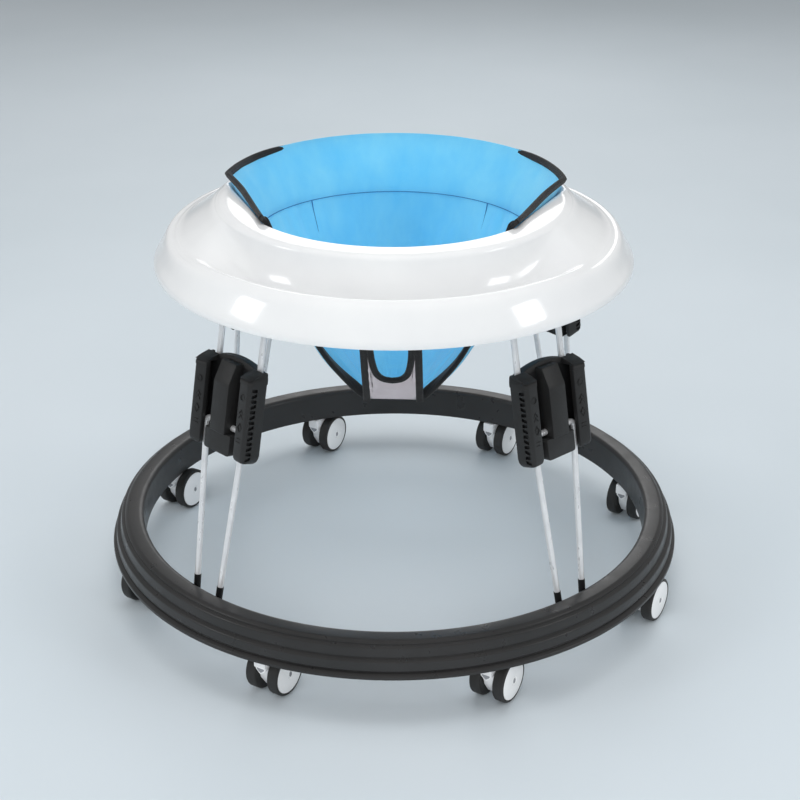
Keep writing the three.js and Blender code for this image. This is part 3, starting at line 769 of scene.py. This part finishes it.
def tray_top(a):
    """The tray's upper surface from the skirt's edge in to the foot of the hole's wall."""
    share = recess_share(a)
    edge, hole, _, drop = funnel_at(math.degrees(a))

    def at(r, front, side):
        return (r, mix(side, front, share) + TRAY_Z)

    def toward(k):
        return mix(LAND_R + 3, 240, k)

    def slope(k):
        return (mix(edge, hole, k), COLLAR_Z - drop * k)

    controls = [
        (TRAY_R - 0.6, TRAY_Z), (TRAY_R, TRAY_Z + 3), (TRAY_R - 1, TRAY_Z + 8), at(268, 20, 18),
        at(259, 35, 34), at(251.5, 42, 36), at(248, 43.4, 37.5),
        at(245, 42.6, 38.5), at(toward(1.03), 36, 40.5), at(toward(0.9), 31, 44),
        at(toward(0.62), 29.6, 52), at(toward(0.36), 31, 60), at(toward(0.16), 45, 67),
        at(toward(0.06), 62, 69.5), at(toward(0), 71, 71),
        (max(LAND_R - 5, edge + 6), COLLAR_Z), (edge + 2, COLLAR_Z),
        slope(0.12), slope(0.5), slope(0.9), (hole, COLLAR_Z - drop - 4),
        (hole, COLLAR_Z - drop - 14), (hole + 0.3, COLLAR_Z - drop - 24),
    ]
    return curve_through(controls, 5)


def tray_profile(a):
    """The closed section at angle a: the upper surface and the same line a wall below it."""
    top = tray_top(a)
    last = len(top) - 1
    under = []
    for i, (r, z) in enumerate(top):
        p, q = Vector(top[max(i - 1, 0)]), Vector(top[min(i + 1, last)])
        along = (q - p).normalized()
        under.append((r - along.y * WALL, z + along.x * WALL))
    return top + under[::-1]


def tray_moulding():
    return make("tray_moulding", *revolved(tray_profile, 288), TRAY_PLASTIC, crease=60)


# ---- Seat ----
CROTCH_HALF, CROTCH_Y, CROTCH_Z = 34, -12, 234
CLOTH = 3.4
SEAT_FLAT = (0.9, 0.36)  # metres
LIFT = 4.2  # from the tray's slope to the middle of the fabric
EDGE_BOW = 24  # how far the leg openings' edges curve outwards
SIDE_DRAW = (41, 36)  # how far the bucket is drawn in at its sides, half way down and low down
SEAT_COLUMNS, SPAN_ROWS = 136, 8
SPANS = 7
SEAM_ROW = 27


def seat_controls(s):
    """Points down the fabric bucket at share s of the way round its back."""
    degrees = mix(SEAT_EDGE, 180 - SEAT_EDGE, s)
    free = smoothstep(abs(2 * s - 1), 0.45, 1)
    edge, hole, share, drop = funnel_at(degrees)
    slope = Vector((edge - hole, drop)).normalized()
    rise = mix(3.5, 12, share) / slope.y
    end = Vector((CROTCH_HALF * (1 - 2 * s), CROTCH_Y, CROTCH_Z))

    def at(r, z):
        return Vector((*polar(r, degrees), z))

    def on_slope(r, z, up=0.0):
        return at(r - LIFT * slope.y + up * slope.x, z + LIFT * slope.x + up * slope.y)

    top, rim = on_slope(edge, COLLAR_Z), on_slope(hole, COLLAR_Z - drop)
    flank = math.cos(math.radians(degrees)) ** 2

    def hang(r, z, share):
        edge_point = rim.lerp(end, share)
        bow = EDGE_BOW * math.sin(math.pi * share ** 1.5)
        edge_point.x += math.copysign(bow, end.x)
        return at(r, z).lerp(edge_point, free)

    return [on_slope(edge, COLLAR_Z, rise), top, top.lerp(rim, 0.5), rim,
            hang(156, COLLAR_Z - drop - 32, 0.2), hang(143 - SIDE_DRAW[0] * flank, 338, 0.5),
            hang(82 - SIDE_DRAW[1] * flank, 268, 0.78), end]


def seat_grid():
    """The sewn bucket as lines of points, each from the upper edge down."""
    return [[Vector(p) for p in curve_through([tuple(q) for q in seat_controls(i / SEAT_COLUMNS)],
                                              SPAN_ROWS)]
            for i in range(SEAT_COLUMNS + 1)]


def grid_normal(grid, i, j):
    """Out of the bucket, away from the child."""
    last_i, last_j = len(grid) - 1, len(grid[0]) - 1
    across = grid[min(i + 1, last_i)][j] - grid[max(i - 1, 0)][j]
    down = grid[i][min(j + 1, last_j)] - grid[i][max(j - 1, 0)]
    return across.cross(down).normalized() * -1


def creased(grid):
    """The grid with soft upright creases, sewn lines and a little slack in the bucket."""
    out = []
    for i, line in enumerate(grid):
        s = i / SEAT_COLUMNS
        side = min(1.0, 12 * min(s, 1 - s))
        row = []
        for j, p in enumerate(line):
            span = j / SPAN_ROWS
            ridges = noise.noise(Vector((s * 46, span * 0.7, 3.1)))
            fine = noise.noise(Vector((s * 120, span * 2.0, 8.4)))
            lower = smoothstep(span, 3.0, 4.2)
            depth = side * ((0.9 + 1.6 * lower) * ridges + 0.35 * fine) * min(1, span)
            depth += 1.1 * math.exp(-((j - SEAM_ROW) / 0.9) ** 2)
            row.append(p + grid_normal(grid, i, j) * depth)
        out.append(row)
    return out


def grid_mesh(name, grid, materials):
    """A mesh through a grid of points. Every grid's UVs span the seat's flat cut."""
    verts = [p for line in grid for p in line]
    n = len(grid[0])
    faces = [(i * n + j, (i + 1) * n + j, (i + 1) * n + j + 1, i * n + j + 1)
             for i in range(len(grid) - 1) for j in range(n - 1)]
    uvs = [(SEAT_FLAT[0] * i / (len(grid) - 1), SEAT_FLAT[1] * j / (n - 1))
           for i in range(len(grid)) for j in range(n)]
    return make(name, verts, faces, materials, uvs=uvs)


def settled(obj, held, frames, slack):
    """Lets the cloth fall from its sewn shape, held by its edges, and keeps the result."""
    mesh = obj.data
    group = obj.vertex_groups.new(name="held")
    for vertex, weight in enumerate(held):
        if weight:
            group.add([vertex], weight, "REPLACE")
    cloth = obj.modifiers.new("cloth", "CLOTH")
    cloth.settings.quality = 6
    cloth.settings.mass = 0.25
    cloth.settings.bending_stiffness = 3
    cloth.settings.tension_stiffness = 25
    cloth.settings.compression_stiffness = 12
    cloth.settings.shear_stiffness = 8
    cloth.settings.shrink_min = -slack
    cloth.settings.vertex_group_mass = "held"
    cloth.settings.pin_stiffness = 1.0
    cloth.point_cache.frame_end = frames
    scene = bpy.context.scene
    for frame_number in range(1, frames + 1):
        scene.frame_set(frame_number)
    graph = bpy.context.evaluated_depsgraph_get()
    result = [v.co.copy() for v in obj.evaluated_get(graph).data.vertices]
    obj.modifiers.clear()
    obj.vertex_groups.clear()
    scene.frame_set(1)
    for vertex, place_now in zip(mesh.vertices, result):
        moved = place_now - vertex.co
        vertex.co += moved.normalized() * min(moved.length, 7 * MM)


def seat_panel():
    sewn = seat_grid()
    grid = creased(sewn)
    panel = grid_mesh("seat_cloth", grid, BLUE)
    rows = SPAN_ROWS * SPANS
    held = []
    for i in range(SEAT_COLUMNS + 1):
        for j in range(rows + 1):
            at_edge = i in (0, SEAT_COLUMNS) or j in (0, rows)
            held.append(1.0 if at_edge or j <= SEAM_ROW else 0.0)
    settled(panel, held, 24, 0.012)
    modified(panel, "SUBSURF", levels=1, render_levels=1)
    modified(panel, "SOLIDIFY", thickness=CLOTH * MM, offset=0.0)
    return panel, sewn


def tape(name, line, width, thick, up, taper=None):
    """Binding tape along a line; taper gives its share of the full width at each point."""
    section = slab(width, thick)
    verts, faces = swept(line, section, up=up)
    m = len(section)
    uvs, length = [], 0.0
    for i, p in enumerate(line):
        length += (Vector(p) - Vector(line[max(i - 1, 0)])).length * MM
        uvs += [(k / m * width * MM * 2, length) for k in range(m)]
        if taper:
            for k in range(i * m, (i + 1) * m):
                verts[k] = tuple(Vector(p).lerp(Vector(verts[k]), taper[i]))
    return make(name, verts, faces, BINDING, crease=50, uvs=uvs)


def seat_bindings(grid):
    """Tape round the whole upper edge and down both leg openings."""
    last = SEAT_COLUMNS
    upper, normals, taper = [], [], []
    for i in range(last + 1):
        degrees = mix(SEAT_EDGE, 180 - SEAT_EDGE, i / last)
        d = 90 - abs((degrees + 90) % 360 - 180)
        behind = smoothstep(d, 32, 60)
        normal = grid_normal(grid, i, 0)
        down = (grid[i][1] - grid[i][0]).normalized()
        upper.append(tuple(grid[i][0] + down * 2.6 + normal * 1.2 * behind))
        normals.append(normal)
        taper.append(1 - 0.7 * behind)
    pieces = [tape("seat_top_binding", upper, 8.6, 5.6, lambda i: normals[i], taper)]
    for name, i in (("right", 0), ("left", last)):
        inward = 1 if i == 0 else -1
        line, ups = [], []
        for j in range(len(grid[i])):
            across = (grid[i + inward][j] - grid[i][j]).normalized()
            line.append(tuple(grid[i][j] - across * 1.2))
            ups.append(grid_normal(grid, i, j))
        pieces.append(tape(f"leg_opening_binding_{name}", line, 12.0, 6.2,
                           lambda k, ups=ups: ups[k]))
    return pieces


def seam_line(name, points, radius):
    verts, faces = swept(points, circle(radius, 8))
    return make(name, verts, faces, THREAD, crease=60)


def seat_seams(grid):
    """The arc seam at the foot of the back band, and the darts under it."""
    j = SEAM_ROW
    arc = [tuple(grid[i][j] - grid_normal(grid, i, j) * 1.25) for i in range(2, SEAT_COLUMNS - 1)]
    pieces = [seam_line("seat_arc_seam", arc, 0.5)]
    for name, s in (("right", 0.335), ("left", 0.665)):
        dart = []
        for k in range(2 * SPAN_ROWS):
            toward = 0.006 * k / SPAN_ROWS * (1 if s < 0.5 else -1)
            i = round((s + toward) * SEAT_COLUMNS)
            dart.append(tuple(grid[i][j + k] - grid_normal(grid, i, j + k) * 1.3))
        pieces.append(seam_line(f"seat_dart_{name}", dart, 0.65))
    return pieces


# ---- Front panel ----
PANEL_FOOT, PANEL_TOP = Vector((0, -18, 232)), Vector((0, -152, 464))
PANEL_HALF = 31.5
BILLOW, BILLOW_REACH = 2.6, 90
U_LINE = [(25.2, 267), (24.8, 140), (24, 100), (22.5, 75), (18.5, 54), (11, 44), (0, 41)]


def on_panel(x, length, depth=0.0):
    """A point of the slanting front panel, length up from its foot and depth towards the front."""
    along = (PANEL_TOP - PANEL_FOOT).normalized()
    out = Vector((0, -along.z, along.y))
    return PANEL_FOOT + along * length + out * depth + Vector((x, 0, 0))


def billow_at(x, length):
    """How far the panel's cloth swells forwards at a point of it."""
    rise = math.sin(math.pi * min(1, length / BILLOW_REACH))
    return BILLOW * (1 - (x / PANEL_HALF) ** 2) * rise


def front_panel():
    """The crotch piece below its scooped upper edge, with a strap up each side."""
    scoop = curve_through(U_LINE, 6)
    columns = [-PANEL_HALF + 2 * PANEL_HALF * k / 40 for k in range(41)]
    grid = []
    for x in columns:
        reach = 265.0
        for (x0, l0), (x1, l1) in zip(scoop, scoop[1:]):
            if x1 <= abs(x) <= x0 and x0 > x1:
                reach = mix(l1, l0, (abs(x) - x1) / (x0 - x1))
        column = []
        for k in range(33):
            length = reach * k / 32
            fold = 0.7 * noise.noise(Vector((x * 0.02, length * 0.16, 1.7)))
            column.append(on_panel(x, length, billow_at(x, length) + fold))
        grid.append(column)
    cloth = grid_mesh("crotch_cloth", grid, PALE)
    modified(cloth, "SOLIDIFY", thickness=2.6 * MM, offset=0.0)
    out = on_panel(0, 0, 1) - on_panel(0, 0, 0)
    pieces = []
    for name, side in (("right", 1), ("left", -1)):
        line = [tuple(on_panel(side * PANEL_HALF, length, 0.6))
                for length in (-3, 20, 60, 120, 190, 266)]
        pieces.append(tape(f"panel_strap_{name}", line, 9.0, 4.6, lambda i: out))
    around = scoop + [(-x, length) for x, length in reversed(scoop[:-1])]
    line = [tuple(on_panel(x, length, billow_at(x, length) + 0.8)) for x, length in around]
    pieces.append(tape("panel_scoop_binding", line, 8.2, 4.8, lambda i: out))
    return cloth, pieces


# ---- Scene ----
LOOK_DOWN, LOOK_RIGHT = 25.3, 3  # degrees


def camera():
    """The view from slightly to the right of the front, looking down into the seat."""
    data = bpy.data.cameras.new("camera")
    data.lens, data.sensor_width = 75.9, 36
    obj = bpy.data.objects.new("camera", data)
    bpy.context.scene.collection.objects.link(obj)
    obj.location = (0.103, -1.831, 1.088)
    obj.rotation_euler = (math.radians(90 - LOOK_DOWN), 0, math.radians(LOOK_RIGHT))
    bpy.context.scene.camera = obj


def area_light(name, spot, target, size, power, mirrored=True):
    data = bpy.data.lights.new(name, "AREA")
    data.size, data.energy = size, power
    obj = bpy.data.objects.new(name, data)
    bpy.context.scene.collection.objects.link(obj)
    obj.location = spot
    obj.rotation_euler = (Vector(target) - Vector(spot)).to_track_quat("-Z", "Y").to_euler()
    obj.visible_glossy = mirrored


def studio():
    """Soft lights, a pale floor and a plain sky; only the side and back lights show in gloss."""
    aim = (0, 0, 0.35)
    area_light("top_softbox", (0, 0.3, 2.6), aim, 2.2, 24, mirrored=False)
    area_light("left_softbox", (-2.3, -0.9, 1.5), aim, 0.6, 7)
    area_light("right_softbox", (2.3, -0.9, 1.5), aim, 0.6, 7)
    area_light("left_fill", (-2.5, 0, 1.7), aim, 1.4, 9, mirrored=False)
    area_light("right_fill", (2.5, 0, 1.7), aim, 1.4, 9, mirrored=False)
    area_light("front_fill", (0, -2.8, 2.0), aim, 1.8, 20, mirrored=False)
    area_light("low_fill", (0, -2.4, 0.3), (0, 0, 0.2), 1.2, 14, mirrored=False)
    area_light("back_rim", (0, 2.6, 1.6), aim, 1.4, 11)
    world = bpy.data.worlds.new("studio")
    world.use_nodes = True
    world.node_tree.nodes["Background"].inputs[0].default_value = (0.97, 0.985, 1.0, 1)
    world.node_tree.nodes["Background"].inputs[1].default_value = 0.42
    bpy.context.scene.world = world
    bpy.context.scene.view_settings.view_transform = "Standard"
    s = Surface("floor", Roughness=0.6)
    s.to("Base Color", s.ramp(s.noise(1.2, 3), rgb(206, 216, 222), rgb(213, 222, 228)))
    floor = make("floor", [(-30, -30, 0), (30, -30, 0), (30, 30, 0), (-30, 30, 0)],
                 [(0, 1, 2, 3)], s.material, scale=1)


camera()
place(bumper_ring(), "base", "ring_plastic", "base_ring")
casters()
legs()
place(tray_moulding(), "tray", "tray_plastic", "tray")

bucket, sewn = seat_panel()
place(bucket, "tray", "seat_fabric", "seat_panel")
seat_tapes = seat_bindings(sewn)
for piece in seat_tapes:
    place(piece, "tray", "binding")
seat_lines = seat_seams(sewn)
for piece in seat_lines:
    place(piece, "tray", "seat_fabric")
crotch, straps = front_panel()
place(crotch, "tray", "crotch_fabric", "front_panel")
for piece in straps:
    place(piece, "tray", "binding")
studio()

for node, obj in frame["nodes"].items():
    obj.data.materials.clear()
    obj.data.materials.append(STEEL if "axle" in node else BLOCK_PLASTIC)
